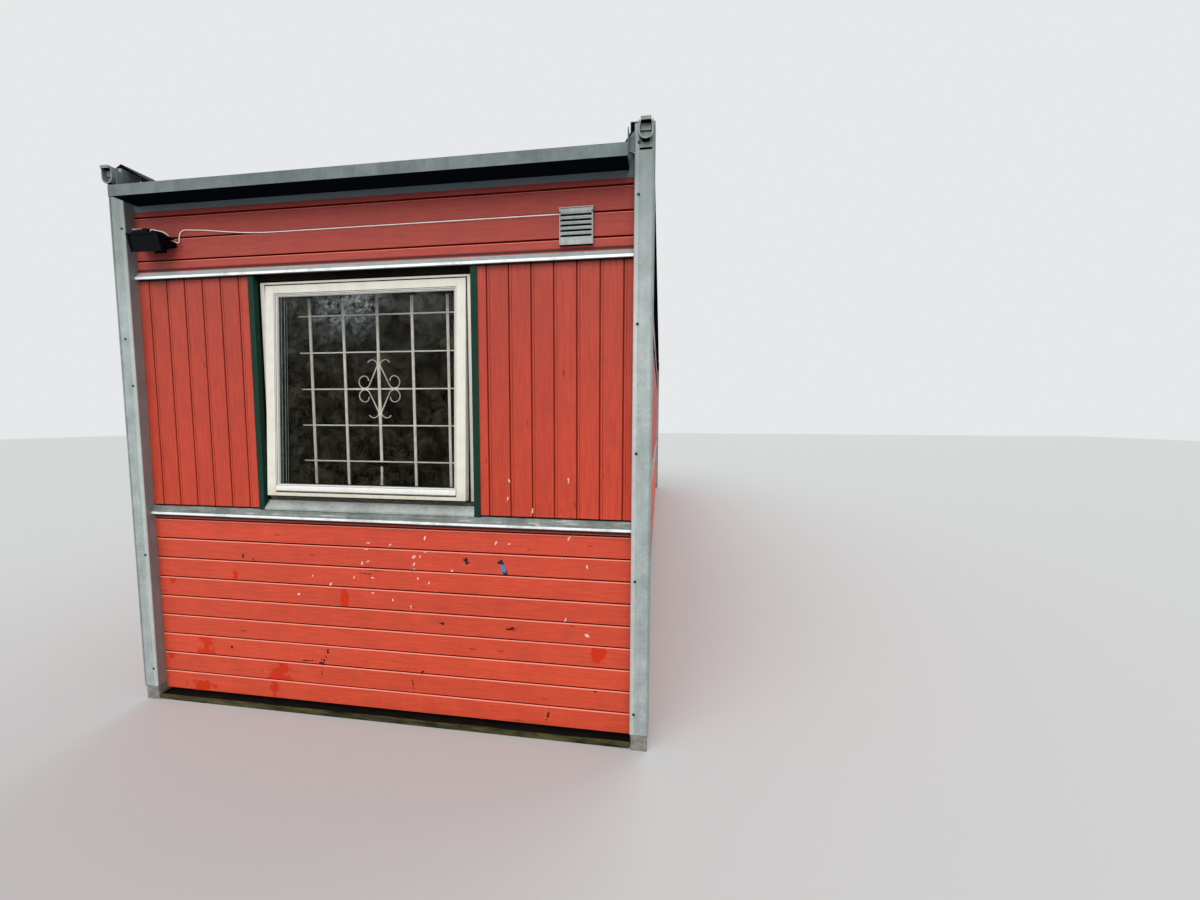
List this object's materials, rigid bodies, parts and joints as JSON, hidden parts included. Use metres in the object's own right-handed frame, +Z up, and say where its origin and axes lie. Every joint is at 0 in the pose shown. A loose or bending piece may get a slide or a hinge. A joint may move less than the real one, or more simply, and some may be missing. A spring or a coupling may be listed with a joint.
{
  "type": "portable site cabin",
  "caption": "Timber site cabin with red boarding between galvanised corner posts, a barred window in one end, a door in the other and lifting hooks at the corners.",
  "frame": {"origin": "on the ground at the middle of the cabin's footprint", "axes": "+Z up, +Y along the cabin away from the end with the window, +X to the right seen from that end"},
  "size_m": [2.9, 8.56, 2.9763],
  "materials": {
    "galvanised_steel": "spangled zinc, dull and weathered",
    "foot_steel": "dull grey steel, dirty",
    "bearer_timber": "dark damp timber with green algae",
    "floor_boarding": "plain boarding",
    "wall_core": "dark wind barrier over framing",
    "roofing_felt": "black bitumen roofing",
    "red_boards": "red paint on sawn boards, weathered",
    "white_joinery": "white paint on planed timber",
    "window_glass": "clear sealed pane",
    "white_ironwork": "white enamel on flat iron bars",
    "green_trim": "dark green paint",
    "black_housing": "black powder coat on cast metal",
    "white_cable": "white flexible sheath",
    "door_paint": "off-white paint",
    "handle_steel": "satin steel"
  },
  "bodies": {
    "root": {"back_boards": "red_boards", "back_fascia": "galvanised_steel", "back_rails": "galvanised_steel", "back_wall": "wall_core", "corner_post_back_left": "galvanised_steel", "corner_post_back_right": "galvanised_steel", "corner_post_front_left": "galvanised_steel", "corner_post_front_right": "galvanised_steel", "door_frame": "white_joinery", "door_handle": "handle_steel", "door_leaf": "door_paint", "door_trims": "green_trim", "floodlight": "black_housing", "floodlight_bracket": "black_housing", "floor_slab": "floor_boarding", "front_boards_bottom": "red_boards", "front_boards_middle": "red_boards", "front_boards_top": "red_boards", "front_fascia": "galvanised_steel", "front_rail_lower": "galvanised_steel", "front_rail_upper": "galvanised_steel", "front_wall": "wall_core", "ground_bearers": "bearer_timber", "lamp_cable": "white_cable", "left_boards": "red_boards", "left_wall": "wall_core", "lifting_hook_back_left": "galvanised_steel", "lifting_hook_back_right": "galvanised_steel", "lifting_hook_front_left": "galvanised_steel", "lifting_hook_front_right": "galvanised_steel", "post_feet": "foot_steel", "right_boards": "red_boards", "right_wall": "wall_core", "roof_flaps": "roofing_felt", "roof_membrane": "roofing_felt", "roof_slab": "wall_core", "side_fascias": "galvanised_steel", "side_rails": "galvanised_steel", "vent": "galvanised_steel", "window_frame": "white_joinery", "window_glass": "window_glass", "window_grille": "white_ironwork", "window_sash": "white_joinery", "window_sill_flashing": "galvanised_steel", "window_trims": "green_trim"}
  },
  "joints": []
}
